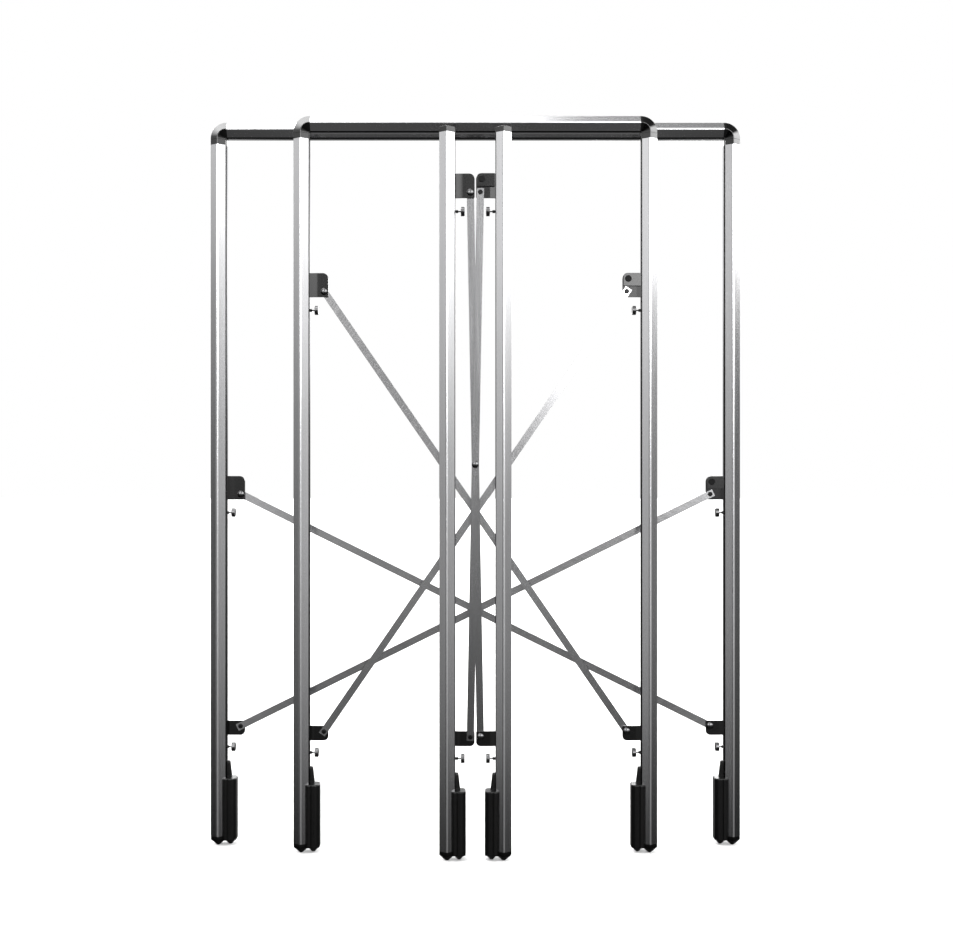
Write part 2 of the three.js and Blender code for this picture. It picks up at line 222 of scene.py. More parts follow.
class Post:
    """One post: its middle, the plane of its facets' edges, and the body it stands in."""

    def __init__(self, name, side):
        low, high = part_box(f"{name}_{side}_post")
        self.name, self.side, self.sign = name, side, SIDES[side]
        self.x = (low.x / MM + POST_HALF) if side == "left" else (high.x / MM - POST_HALF)
        self.y = high.y / MM - SIDE_DEPTH
        self.low, self.high = low.z / MM, high.z / MM
        self.body = "root" if side == "left" else f"{name}_right_post_body"

    def at(self, u, v, z):
        return self.x + self.sign * u, self.y + v, z

    def level_ring(self, outline, z):
        return [self.at(u, v, z) for u, v in outline]

    def facing(self, u, z):
        """Where a turned piece is when its axis runs to the back from (u, z)."""
        return lambda a, b, along: self.at(u + a, along, z + b)

    def sideways(self, v, z):
        """Where a turned piece is when its axis runs across from (v, z)."""
        return lambda a, b, along: self.at(along, v + a, z + b)

    def piece_name(self, what):
        return f"{self.name}_{self.side}_{what}"


POSTS = {(name, side): Post(name, side) for name in FRAMES for side in SIDES}
JOINTS = {joint["name"]: joint for joint in frame["joints"]}


def pin_height(name, side, level):
    """The height of a bracket's pin, from the joint that turns on it."""
    if level == "lower":
        return JOINTS[f"{name}_fold"]["pos_m"][2] / MM
    return JOINTS[f"{name}_{side}_slider_hinge"]["pos_m"][2] / MM


def bar_angle(name):
    """How steeply a frame's bars rise, from its pins."""
    rise = pin_height(name, "left", "upper") - pin_height(name, "left", "lower")
    run = POSTS[name, "right"].x - POSTS[name, "left"].x - 2 * PIN_U
    return math.atan2(rise, run)


# ---------------------------------------------------------------- materials

def grey(value):
    """A grey with a very slight blue."""
    return value, value, value * 1.015


def nodes_of(name):
    material = bpy.data.materials.new(name)
    material.use_nodes = True
    tree = material.node_tree
    return material, tree, tree.nodes["Principled BSDF"]


def noise(tree, vector, scale, detail):
    node = tree.nodes.new("ShaderNodeTexNoise")
    node.inputs["Scale"].default_value = scale
    node.inputs["Detail"].default_value = detail
    node.inputs["Roughness"].default_value = 0.55
    tree.links.new(vector, node.inputs["Vector"])
    return node.outputs["Fac"]


def spread(tree, value, low, high):
    """A noise's usual range, spread from low to high."""
    node = tree.nodes.new("ShaderNodeMapRange")
    node.inputs["From Min"].default_value = 0.3
    node.inputs["From Max"].default_value = 0.7
    node.inputs["To Min"].default_value = low
    node.inputs["To Max"].default_value = high
    tree.links.new(value, node.inputs["Value"])
    return node.outputs["Result"]


def tint(tree, value, dark, light):
    node = tree.nodes.new("ShaderNodeMix")
    node.data_type = "RGBA"
    node.inputs["A"].default_value = (*dark, 1)
    node.inputs["B"].default_value = (*light, 1)
    tree.links.new(value, node.inputs["Factor"])
    return node.outputs["Result"]


def add_bump(tree, shader, height, strength, distance):
    node = tree.nodes.new("ShaderNodeBump")
    node.inputs["Strength"].default_value = strength
    node.inputs["Distance"].default_value = distance
    tree.links.new(height, node.inputs["Height"])
    tree.links.new(node.outputs["Normal"], shader.inputs["Normal"])


def object_space(tree, scale=(1, 1, 1), turn=0.0):
    """The piece's own space, turned about y and then scaled."""
    coords = tree.nodes.new("ShaderNodeTexCoord")
    rotate = tree.nodes.new("ShaderNodeMapping")
    rotate.inputs["Rotation"].default_value = (0, turn, 0)
    stretch = tree.nodes.new("ShaderNodeMapping")
    stretch.inputs["Scale"].default_value = scale
    tree.links.new(coords.outputs["Object"], rotate.inputs["Vector"])
    tree.links.new(rotate.outputs["Vector"], stretch.inputs["Vector"])
    return stretch.outputs["Vector"]


def colour_and_roughness(tree, shader, clouds, colours, fine, roughness):
    """Tints the colour by one noise and spreads the roughness by another."""
    tree.links.new(tint(tree, spread(tree, clouds, 0, 1), *colours), shader.inputs["Base Color"])
    tree.links.new(spread(tree, fine, *roughness), shader.inputs["Roughness"])


def drawn_metal(name, dark, light, roughness, turn=0.0):
    """Aluminium with fine lines along z, or along another direction after a turn about y."""
    material, tree, shader = nodes_of(name)
    lines = noise(tree, object_space(tree, (1, 1, 0.006), turn), scale=900, detail=4)
    clouds = noise(tree, object_space(tree, (1, 1, 0.15), turn), scale=14, detail=3)
    colour_and_roughness(tree, shader, clouds, (dark, light), lines, roughness)
    shader.inputs["Metallic"].default_value = 1
    add_bump(tree, shader, lines, strength=0.02, distance=0.00003)
    return material


def painted_shade_lip_metal(name, dark, light, roughness):
    """Drawn metal that mirrors little at a shallow angle: a darker copy of the aluminium, painted shade on
    the slot's lip.
    """
    material = drawn_metal(name, dark, light, roughness)
    shader = material.node_tree.nodes["Principled BSDF"]
    shader.inputs["Specular Tint"].default_value = (0.2, 0.2, 0.2, 1)
    return material


def moulded(name, dark, light, roughness, grain, bump, specular):
    """Black plastic, rubber or coating with a fine grain."""
    material, tree, shader = nodes_of(name)
    fine = noise(tree, object_space(tree), scale=grain, detail=4)
    clouds = noise(tree, object_space(tree), scale=22, detail=3)
    colour_and_roughness(tree, shader, clouds, (dark, light), fine, roughness)
    shader.inputs["Specular IOR Level"].default_value = specular
    add_bump(tree, shader, fine, bump, distance=0.00012)
    return material


def polished(name, dark, light, roughness):
    material, tree, shader = nodes_of(name)
    fine = noise(tree, object_space(tree), scale=500, detail=3)
    colour_and_roughness(tree, shader, fine, (dark, light), fine, roughness)
    shader.inputs["Metallic"].default_value = 1
    return material


ALUMINIUM = drawn_metal("drawn_aluminium_upright", grey(0.76), grey(0.84), (0.15, 0.2))
ALUMINIUM_RAIL = drawn_metal("drawn_aluminium_level", grey(0.76), grey(0.84), (0.15, 0.2), math.pi / 2)
# Painted shade: the room inside the slot is near black, standing in for the shade that falls inside it.
SLOT_PAINTED_SHADE = polished("dark_slot_room", grey(0.003), grey(0.006), (0.3, 0.4))
# Painted shade: the lip behind the slot is a darker copy of the drawn aluminium, not a different metal.
SLOT_LIP_PAINTED_SHADE = painted_shade_lip_metal("satin_slot_lip", grey(0.5), grey(0.56), (0.2, 0.26))
BRACKET = moulded("bracket_black_coating", grey(0.0006), grey(0.0018), (0.16, 0.24),
                  grain=1500, bump=0.05, specular=0.45)
PAD = moulded("bumper_pad_black", grey(0.0006), grey(0.0015), (0.12, 0.2),
              grain=1400, bump=0.04, specular=0.6)
CORNER = moulded("corner_gloss_black", grey(0.0015), grey(0.003), (0.10, 0.16),
                 grain=900, bump=0.02, specular=0.9)
RUBBER = moulded("boot_black_rubber", grey(0.0008), grey(0.002), (0.24, 0.34),
                 grain=1100, bump=0.12, specular=0.3)
BUMPER = moulded("bumper_black_rubber", grey(0.0012), grey(0.0025), (0.34, 0.44),
                 grain=1200, bump=0.1, specular=0.15)
CHROME = polished("polished_chrome", grey(0.50), grey(0.60), (0.05, 0.10))
KNOB_CHROME = polished("knurled_knob_chrome", grey(0.12), grey(0.18), (0.16, 0.26))
DARK_CHROME = polished("rivet_dark_chrome", grey(0.10), grey(0.14), (0.05, 0.09))
PIN_STEEL = polished("dark_pin_steel", grey(0.012), grey(0.03), (0.18, 0.28))


# ---------------------------------------------------------------- posts, rails, collars and corners

def facet(u):
    """How far back the front facets are at u."""
    return -RIDGE * (1 - abs(u) / POST_HALF)


def extrusion_outline():
    h, inner = POST_HALF, POST_HALF + LIP
    points = [(-h, SIDE_DEPTH), (-h, 0), (0, -RIDGE), (h, 0), (h, SLOT_FRONT), (SLOT_MOUTH, SLOT_FRONT),
              (SLOT_MOUTH, ROOM_FRONT), (SLOT_FLOOR, ROOM_FRONT), (SLOT_FLOOR, ROOM_BACK),
              (SLOT_MOUTH, ROOM_BACK), (SLOT_MOUTH, SLOT_BACK), (inner, SLOT_BACK), (inner, SIDE_DEPTH)]
    radii = [1.2, 1.0, 7.0, 0.3, 0.3, 0.2, 0, 0, 0, 0, 0.2, 0.5, 1.2]
    return rounded(points, radii)


def hollow_outline():
    """The hollow behind the facets and beside the slot's room, a wall's thickness inside."""
    behind_facets = WALL * math.hypot(1, RIDGE / POST_HALF)
    beside, behind, inner = SLOT_FLOOR - WALL, ROOM_BACK + WALL, POST_HALF + LIP - WALL
    left, back = WALL - POST_HALF, SIDE_DEPTH - WALL
    front = [(u, facet(u) + behind_facets) for u in (left, 0, beside)]
    return [(left, back), *front, (beside, behind), (inner, behind), (inner, back)]


def cover_outline():
    """The post's outline without its slot."""
    h, inner = POST_HALF, POST_HALF + LIP
    points = [(-h, SIDE_DEPTH), (-h, 0), (0, -RIDGE), (h, 0), (h, SLOT_BACK), (inner, SLOT_BACK),
              (inner, SIDE_DEPTH)]
    return rounded(points, [1.2, 1.2, 2.2, 1.2, 0.4, 0.4, 1.2])


def section_part(a, b, spare=0.1):
    """The wall between two points of the section: 1 in the slot, 2 on the lip behind it, or else 0."""
    inner = POST_HALF + LIP
    least_u, most_u = min(a[0], b[0]), max(a[0], b[0])
    least_v, most_v = min(a[1], b[1]), max(a[1], b[1])
    if least_u > SLOT_FLOOR - spare and most_u < inner + spare \
            and least_v > -spare and most_v < ROOM_BACK + spare:
        return 1
    if least_u > inner - LIP_ROUNDING and least_v > SLOT_BACK:
        return 2
    return 0


def extrusion(bm, start, end, place):
    """The hollow slotted section from one place along it to another. The room inside the slot has
    the second material, painted shade, and the lip behind it the third, a darker copy of the aluminium as
    painted shade."""
    ends = []
    for outline in (extrusion_outline(), hollow_outline()):
        first, second = (ring(bm, [place(u, v, along) for u, v in outline]) for along in (start, end))
        bridge(bm, first, second)
        for i, point in enumerate(outline):
            j = (i + 1) % len(outline)
            for face in set(first[i].link_faces) & set(first[j].link_faces):
                face.material_index = section_part(point, outline[j])
        ends.append((first, second))
    for loops in zip(*ends):
        edges = []
        for loop in loops:
            edges += [bm.edges.get((loop[i - 1], loop[i])) for i in range(len(loop))]
        bmesh.ops.triangle_fill(bm, use_beauty=True, edges=edges)


def make_post(post):
    piece(post.piece_name("post_extrusion"), post.body, ALUMINIUM,
          lambda bm: extrusion(bm, post.low, post.high, post.at),
          [post.piece_name("post")], others=(SLOT_PAINTED_SHADE, SLOT_LIP_PAINTED_SHADE))


def make_rail(name):
    low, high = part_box(f"{name}_rail")
    y = POSTS[name, "left"].y
    axis = high.z / MM - POST_HALF
    piece(f"{name}_rail_extrusion", "root", ALUMINIUM_RAIL,
          lambda bm: extrusion(bm, low.x / MM, high.x / MM, lambda u, v, x: (x, y + v, axis - u)),
          [f"{name}_rail"], others=(SLOT_PAINTED_SHADE, ALUMINIUM_RAIL))


def make_collar(post):
    """The black cap on the post, as (height, how far in) levels. A front cap's top edge is rounder."""
    _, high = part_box(post.piece_name("collar"))
    base, top = post.high + COLLAR_GAP, high.z / MM
    outline = cover_outline()
    levels = [(base, 0.5), (base + 0.5, 0), (top - 0.9, 0), (top - 0.25, 0.3), (top, 0.9)]
    if post.name in RAILED:
        levels = [(base, 0.4), (base + 0.4, 0), (top - 0.2, 0), (top, 0.2)]

    def make(bm):
        loft(bm, [post.level_ring(inset(outline, POST_CENTRE, cut), z) for z, cut in levels])

    piece(post.piece_name("collar_cap"), post.body, CORNER, make, [post.piece_name("collar")])


def make_elbow(post):
    """The quarter turn from the post's top to the rail's end."""
    name = post.piece_name("elbow")
    low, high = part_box(name)
    axis = high.z / MM - POST_HALF
    bottom = low.z / MM
    outline = cover_outline()
    narrow = inset(outline, POST_CENTRE, CORNER_EDGE)

    def bend_ring(angle):
        return [post.at(BEND - (BEND - u) * math.cos(angle), v,
                        axis - BEND + (BEND - u) * math.sin(angle)) for u, v in outline]

    def rail_ring(points, along):
        return [post.at(along, v, axis - u) for u, v in points]

    def make(bm):
        rings = [post.level_ring(narrow, bottom), post.level_ring(outline, bottom + CORNER_EDGE)]
        rings += [bend_ring(i / BEND_STEPS * math.pi / 2) for i in range(BEND_STEPS + 1)]
        rings += [rail_ring(outline, CORNER_LENGTH - CORNER_EDGE), rail_ring(narrow, CORNER_LENGTH)]
        loft(bm, rings)

    piece(post.piece_name("elbow_corner"), "root", CORNER, make, [name])


# ---------------------------------------------------------------- brackets and their pins

def sheet_middle(u, bend):
    """How far back the middle of a bracket's sheet is: it slopes from the neck to the bend."""
    t = min(1.0, max(0.0, (bend - u) / (bend - SHEET_NECK)))
    return SHEET_OUTER_V + (SHEET_INNER_V - SHEET_OUTER_V) * t ** SHEET_EASE


def sheet_stations(bend, radii, steps=8):
    """Where across the sheet its sections are: close together at the bend and the rounded corners."""
    past_bend, end_step = 3, 0.02
    stations = [SHEET_ROOT, SHEET_NECK, bend, bend + past_bend]
    stations += [SHEET_NECK + (bend - SHEET_NECK) * share for share in (0.2, 0.4, 0.6, 0.75, 0.88, 0.96)]
    for radius in radii:
        start = SHEET_REACH - radius
        stations += [start + radius * math.sin(i / steps * math.pi / 2) for i in range(steps)]
    return sorted({round(u, 3) for u in stations}) + [SHEET_REACH - end_step]


def bracket_sheet(bm, post, pin_z, top, bottom, bend, top_radius, bottom_radius):
    def corner(u, radius):
        past = max(0.0, u - (SHEET_REACH - radius))
        return radius - math.sqrt(max(0.0, radius ** 2 - past ** 2))

    half, chamfer = SHEET_THICK / 2, SHEET_CHAMFER
    rings = []
    for u in sheet_stations(bend, (top_radius, bottom_radius)):
        v = sheet_middle(u, bend)
        high, low = pin_z + top - corner(u, top_radius), pin_z + bottom + corner(u, bottom_radius)
        section = [(v - half, low + chamfer), (v - half + chamfer, low), (v + half - chamfer, low),
                   (v + half, low + chamfer), (v + half, high - chamfer), (v + half - chamfer, high),
                   (v - half + chamfer, high), (v - half, high - chamfer)]
        rings.append([post.at(u, back, z) for back, z in section])
    loft(bm, rings)


def shoe(bm, post, low, high):
    """The block in the post's slot that the sheet grows out of."""
    inner, outer, front, back = 8.5, 17, 0.6, 12.1
    corners = [(inner, front), (outer, front), (outer, back), (inner, back)]
    outline = rounded(corners, 0.6, 2)
    loft(bm, [post.level_ring(outline, z) for z in (low, high)])


def dome_profile(base):
    """A domed head from its top to the fine step at its rim, as [radius, along] points."""
    profile = [(0, base - DOME_HEIGHT)]
    for i in range(1, DOME_STEPS + 1):
        angle = i / DOME_STEPS * math.pi / 2
        profile.append((DOME_RADIUS * math.sin(angle), base - DOME_HEIGHT * math.cos(angle)))
    return profile + [(DOME_RADIUS, base + DOME_RIM)]


def bracket_sizes(post, level):
    if level == "upper":
        bend = 44 if post.sign > 0 else 36
        return dict(top=UPPER_TOP, bottom=-15, bend=bend, top_radius=15, bottom_radius=3)
    bend = 34 if post.sign > 0 else 36
    return dict(top=14, bottom=-25, bend=bend, top_radius=3, bottom_radius=12)


def bracket_body(post, level):
    if level == "upper":
        return f"{post.name}_{post.side}_slider"
    return post.body


def make_bracket(post, level):
    sizes = bracket_sizes(post, level)
    body = bracket_body(post, level)
    z = pin_height(post.name, post.side, level)
    node = post.piece_name(f"{level}_bracket")

    def make(bm):
        bracket_sheet(bm, post, z, **sizes)
        shoe(bm, post, z - SHOE_DROP[level], z + sizes["top"])

    piece(f"{node}_sheet", body, BRACKET, make, [node])
    at_pin = post.facing(PIN_U, z)
    has_rear_bar = (post.side == "left") == (level == "upper")
    if has_rear_bar:
        make_rivet(node, body, at_pin)
    else:
        make_front_pin(node, body, at_pin)
    if level == "upper" and not has_rear_bar:
        make_bumper(post, node, body, z)


def make_rivet(node, body, at_pin):
    """A domed head in front of the sheet and a turned-over tail behind the rear bar."""
    head = dome_profile(BRACKET_DOME) + [(0, BRACKET_DOME + DOME_RIM)]
    tail = [(0, 6.9), (PIN_RADIUS, 6.9), (PIN_RADIUS, 11.2), (6, 11.2), (6.5, 11.6), (6.3, 12.6), (5, 13),
            (0, 13)]
    piece(f"{node}_rivet", body, DARK_CHROME, lambda bm: turned(bm, head, at_pin))
    piece(f"{node}_rivet_tail", body, CHROME, lambda bm: turned(bm, tail, at_pin, 28))


def make_front_pin(node, body, at_pin):
    """A washer, and a six-sided head with a small recess, in front of the bar."""
    washer = [(0, -1.7), (6.1, -1.7), (6.4, -1.5), (6.4, -1.15), (6.2, -0.95), (0, -0.95)]
    head = [(0, 3.4), (PIN_RADIUS, 3.4), (PIN_RADIUS, -1.5), (5.4, -1.5), (5.4, -3.6), (4.8, -4.1),
            (2.5, -4.1), (2.3, -2.9), (0, -2.9)]
    piece(f"{node}_washer", body, PIN_STEEL, lambda bm: turned(bm, washer, at_pin, 32))
    piece(f"{node}_hex_head", body, PIN_STEEL, lambda bm: turned(bm, head, at_pin, 6))


def make_bumper(post, node, body, z):
    """The thick pad and the round boss above the front bar's end."""
    top, bottom = z + UPPER_TOP, z + PAD_BOTTOM
    corners = [(PAD_INNER, bottom), (PAD_OUTER, bottom), (PAD_OUTER, top), (PAD_INNER, top)]
    outline = rounded(corners, [1.5, 1.5, 13, 1.5], 8)
    centre = (47, (top + bottom) / 2)
    levels = [(4, 0), (-0.9, 0), (-1.4, 0.35), (-1.6, 1.1)]
    boss = [(0, 2), (8.8, 2), (8.8, -2.7), (8.2, -3.3), (6.6, -3.4), (6.2, -3.0), (0, -3.0)]
    at_boss = post.facing(BOSS_U, z + BOSS_RISE)

    def pad(bm):
        loft(bm, [[post.at(u, v, w) for u, w in inset(outline, centre, cut)] for v, cut in levels])

    piece(f"{node}_bumper_pad", body, PAD, pad)
    piece(f"{node}_bumper_boss", body, BUMPER, lambda bm: turned(bm, boss, at_boss))


# ---------------------------------------------------------------- thumb screws, bars and centre rivets

def make_screw(post, level):
    """A thumb screw: a stem with a collar, and a knob with teeth round its rim."""
    node = post.piece_name(f"{level}_screw")
    body = f"{post.name}_{post.side}_{level}_knob"
    place = post.sideways(SCREW_V, pin_height(post.name, post.side, level) - SCREW_DROP[level])
    stem = [(0, 10), (1.7, 10.3), (1.7, 22.2), (3.6, 22.2), (3.9, 22.6), (3.9, 29.1), (3.5, 29.5),
            (1.7, 29.5), (1.7, 36.3), (0, 36.3)]
    knob = [(0, 36.2), (5, 36.2), (10.9, 36.2), (11.7, 36.6), (12, 37.2), (12, 45.3), (11.7, 45.9),
            (10.9, 46.3), (9.8, 46.3), (9.3, 45.8), (3, 45.8), (0, 45.8)]
    piece(f"{node}_knob", body, KNOB_CHROME,
          lambda bm: turned(bm, knob, place, 96, knurled=(4, 5)), [node], smooth=50)
    piece(f"{node}_stem", body, PIN_STEEL, lambda bm: turned(bm, stem, place, 24))


def dress_bar(node, angle):
    """A bar keeps its own mesh: it gets softened edges and lines along its length."""
    obj = frame["nodes"][node]
    obj.data.materials.clear()
    turn = math.pi / 2 + angle
    shade = 0.37 if node.startswith("front") else 0.5
    metal = drawn_metal(f"{node}_metal", grey(shade), grey(shade + 0.06), (0.12, 0.2), turn)
    obj.data.materials.append(metal)
    soft_edges(obj, BAR_EDGE)


def make_centre_rivet(name):
    """The rivet where the bars cross: domed head, spacer between the bars, and tail."""
    node = f"{name}_centre_rivet"
    low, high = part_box(node)
    x, z = (low.x + high.x) / 2 / MM, (low.z + high.z) / 2 / MM
    y = POSTS[name, "left"].y
    behind_head = [(PIN_RADIUS, CENTRE_DOME + DOME_RIM), (PIN_RADIUS, 2.9), (8, 2.9), (8, 7.1),
                   (PIN_RADIUS, 7.1), (PIN_RADIUS, 11.1), (6.6, 11.1), (7, 11.5), (6.8, 12.7), (6, 13.1),
                   (0, 13.1)]
    profile = dome_profile(CENTRE_DOME) + behind_head
    piece(f"{node}_turned", f"{name}_front_bar_body", DARK_CHROME,
          lambda bm: turned(bm, profile, lambda a, b, along: (x + a, y + along, z + b)), [node])


# ---------------------------------------------------------------- boots

def sleeve_outline():
    """The sleeve in plan: lobed outside, and following the post with a fine gap inside."""
    corners = [(14.2, -4.7), (14.3, -7.0), (17.6, -8.9), (25.4, -9.8), (27.1, -7.6), (28.8, -9.9),
               (40, -9.6), (49.2, -4), (49.4, 28), (44, 38), (12, 38), (12, 29.4), (21.9, 29.4),
               (21.9, 9.7), (20.3, 9.7), (20.3, -0.3)]
    radii = [0.3, 2.5, 5, 1.6, 1.0, 1.6, 9, 12, 14, 10, 5, 0.3, 0.2, 0.2, 0.2, 0.4]
    return rounded(corners, radii, 5)


def sleeve_shell(bm, post):
    """The sleeve, as (height, how far in) levels."""
    levels = [(14, 0.6), (15, 0), (177.6, 0), (179.4, 0.5), (180.6, 1.5), (181, 2.8)]
    outline = sleeve_outline()
    loft(bm, [post.level_ring(inset(outline, SLEEVE_CENTRE, cut), z) for z, cut in levels])


def lug_shell(bm, post):
    """The tapered lug on the sleeve's top, leaning on the post, as (height, reach, thinning) levels."""
    inner, front, back, slope = 21.8, 11, 27, 0.8
    levels = [(176, 35.4, 0), (183, 34.6, 0), (205, 32, 0.4), (220, 30.4, 0.9), (223.6, 29.6, 1.6),
              (225, 28, 3)]
    rings = []
    for z, reach, thin in levels:
        corners = [(inner, front + thin), (reach, front + slope + thin), (reach, back - slope - thin),
                   (inner, back - thin)]
        rings.append(post.level_ring(rounded(corners, [0.4, 2.4, 2.4, 0.4], 4), z))
    loft(bm, rings)


def ray_ring(outline, centre, count):
    """count points where rays from a centre meet an outline."""
    out = []
    for i in range(count):
        angle = 2 * math.pi * i / count
        ray = Vector((math.cos(angle), math.sin(angle)))
        far = 0.0
        for a, b in zip(outline, outline[1:] + outline[:1]):
            a, b = Vector(a) - Vector(centre), Vector(b) - Vector(centre)
            along = b - a
            cross = ray.x * along.y - ray.y * along.x
            if abs(cross) < PARALLEL:
                continue
            t = (a.x * along.y - a.y * along.x) / cross
            s = (a.x * ray.y - a.y * ray.x) / cross
            if t > 0 and -SAME_POINT <= s <= 1 + SAME_POINT:
                far = max(far, t)
        out.append((centre[0] + ray.x * far, centre[1] + ray.y * far))
    return out


def blunt_tip(bm, post, outline, centre, top):
    """A skirt that narrows to a blunt end on the floor, as (height, how far to the tip) levels."""
    wide = ray_ring(outline, centre, TIP_SIDES)
    tip = ellipse(centre, (TIP_RADIUS, TIP_RADIUS), TIP_SIDES)
    levels = ((SKIRT - 1.2, 0.03), (1.6, 0.9), (0.7, 0.97), (0.2, 1.03), (0, 1.12))
    rings = [post.level_ring(wide, top), post.level_ring(wide, SKIRT)]
    for z, share in levels:
        between = [(w[0] + (t[0] - w[0]) * share, w[1] + (t[1] - w[1]) * share)
                   for w, t in zip(wide, tip)]
        rings.append(post.level_ring(between, z))
    loft(bm, rings)


def joined_mesh(makers):
    """One mesh from closed shells that run into one another."""
    parts = [add_object("boot_part", mesh_from("boot_part", make, weld=False)) for make in makers]
    main = parts[0]
    for part in parts[1:]:
        join = main.modifiers.new("join", "BOOLEAN")
        join.operation, join.solver, join.object = "UNION", "EXACT", part
    graph = bpy.context.evaluated_depsgraph_get()
    joined = bpy.data.meshes.new_from_object(main.evaluated_get(graph))
    for part in parts:
        bpy.data.objects.remove(part)
    return joined


def make_boot(post):
    """The sleeve and its lug beside the post, and a blunt tip under each of the two."""
    node = post.piece_name("boot")
    lobe = ellipse(LOBE_CENTRE, LOBE_HALF, TIP_SIDES)
    joined = joined_mesh([
        lambda bm: sleeve_shell(bm, post),
        lambda bm: lug_shell(bm, post),
        lambda bm: blunt_tip(bm, post, cover_outline(), CAP_CENTRE, post.low - CAP_GAP),
        lambda bm: blunt_tip(bm, post, lobe, LOBE_CENTRE, LOBE_TOP),
    ])
    piece(f"{node}_moulding", post.body, RUBBER, lambda bm: bm.from_mesh(joined), [node], smooth=38)


# ---------------------------------------------------------------- ties between the frames

def dress_tie(node):
    """A tie keeps its own mesh too, with softened edges."""
    obj = frame["nodes"][node]
    obj.data.materials.clear()
    obj.data.materials.append(BRACKET)
    soft_edges(obj, TIE_EDGE)


# ---------------------------------------------------------------- building it all

for (name, side), post in POSTS.items():
    make_post(post)
    make_collar(post)
    make_boot(post)
    if name in RAILED:
        make_elbow(post)
    for level in LEVELS:
        make_bracket(post, level)
        make_screw(post, level)

for name in FRAMES:
    angle = bar_angle(name)
    dress_bar(f"{name}_front_bar", -angle)
    dress_bar(f"{name}_rear_bar", angle)
    make_centre_rivet(name)
    if name in RAILED:
        make_rail(name)

for node in ("left_rail_tie", "right_rail_tie", "front_hanger"):
    dress_tie(node)


# ---------------------------------------------------------------- floor, light and camera

class Studio:
    """The light on the object as levels over direction: x to the right, z up, depth to the front or
    the back, and the turn away from straight in front or straight behind, in degrees."""

    def __init__(self):
        world = bpy.data.worlds.new("studio")
        bpy.context.scene.world = world
        world.use_nodes = True
        self.tree = world.node_tree
        self.tree.nodes.clear()
        coords = self.add("TexCoord")
        split = self.add("SeparateXYZ", coords.outputs["Generated"])
        self.x, self.z = split.outputs["X"], split.outputs["Z"]
        sideways = self.maths("ABSOLUTE", split.outputs["X"])
        self.depth = self.maths("ABSOLUTE", split.outputs["Y"])
        self.turn = self.maths("MULTIPLY", self.maths("ARCTAN2", sideways, self.depth), 180 / math.pi)

    def add(self, kind, *sources):
        """A node, with sockets linked or, where a source is a number, set."""
        node = self.tree.nodes.new("ShaderNode" + kind)
        for socket, source in zip(node.inputs, sources):
            if isinstance(source, (int, float)):
                socket.default_value = source
            else:
                self.tree.links.new(source, socket)
        return node

    def maths(self, operation, *sources):
        node = self.add("Math", *sources)
        node.operation = operation
        return node.outputs[0]

    def curve(self, value, stops):
        """A curve through (position, level) stops, straight between them."""
        low, high = stops[0][0], stops[-1][0]
        peak = max(level for _, level in stops)
        share = self.maths("DIVIDE", self.maths("SUBTRACT", value, low), high - low)
        ramp = self.add("ValToRGB", share)
        elements = ramp.color_ramp.elements
        while len(elements) < len(stops):
            elements.new(0.5)
        for element, (position, level) in zip(elements, stops):
            element.position = (position - low) / (high - low)
            element.color = (*[level / peak] * 3, 1)
        return self.maths("MULTIPLY", ramp.outputs["Color"], peak)

    def times(self, *levels):
        total = levels[0]
        for level in levels[1:]:
            total = self.maths("MULTIPLY", total, level)
        return total

    def plus(self, *levels):
        total = levels[0]
        for level in levels[1:]:
            total = self.maths("ADD", total, level)
        return total

    def finish(self, level):
        """Lights the object with the level. The camera sees plain white behind the object."""
        light = self.add("Background", level)
        plain = self.add("Background")
        plain.inputs["Color"].default_value = (1, 1, 1, 1)
        path = self.add("LightPath")
        mix = self.add("MixShader", path.outputs["Is Camera Ray"], light.outputs[0], plain.outputs[0])
        out = self.add("OutputWorld")
        self.tree.links.new(mix.outputs[0], out.inputs["Surface"])


def front_gap(studio):
    """Straight in front: dim low down and bright above, though less so high up on the right."""
    up = studio.curve(studio.z, [
        (-1, 0.06), (-0.36, 0.06), (-0.28, 0.07), (-0.18, 0.13), (-0.115, 0.27), (-0.03, 0.38),
        (0.05, 0.42), (0.18, 0.35), (0.3, 1.4), (0.6, 1.6), (1, 1.5)])
    around = studio.curve(studio.turn, [(0, 1), (12, 1), (17, 0), (90, 0)])
    left_and_high = studio.curve(studio.x, [(-1, 1), (-0.01, 1), (0.03, 0.42), (1, 0.42)])
    right = studio.curve(studio.x, [(-1, 0), (-0.01, 0), (0.03, 0.58), (1, 0.58)])
    not_high = studio.curve(studio.z, [(-1, 1), (0.5, 1), (0.7, 0), (1, 0)])
    return studio.times(up, around, studio.plus(left_and_high, studio.times(right, not_high)))


def front_wall(studio):
    """A soft wall beside the gap, wide on the right and narrow on the left."""
    up = studio.curve(studio.z, [
        (-1, 0.05), (-0.36, 0.06), (-0.28, 0.16), (-0.2, 0.34), (-0.1, 0.55), (-0.03, 0.7),
        (0.03, 0.95), (0.08, 1.5), (0.13, 5.0), (0.3, 6.0), (0.6, 3.0), (0.9, 0.6), (1, 0.3)])
    around = studio.curve(studio.turn, [(0, 0), (8, 0), (13, 1), (42, 1), (54, 0.4), (61, 0), (90, 0)])
    right = studio.curve(studio.x, [(-1, 0), (-0.05, 0), (0.05, 1), (1, 1)])
    left = studio.curve(studio.x, [(-1, 1), (-0.05, 1), (0.05, 0), (1, 0)])
    narrow = studio.curve(studio.turn, [(0, 1), (26, 1), (34, 0.08), (90, 0.08)])
    return studio.times(up, around, studio.plus(right, studio.times(left, narrow)))


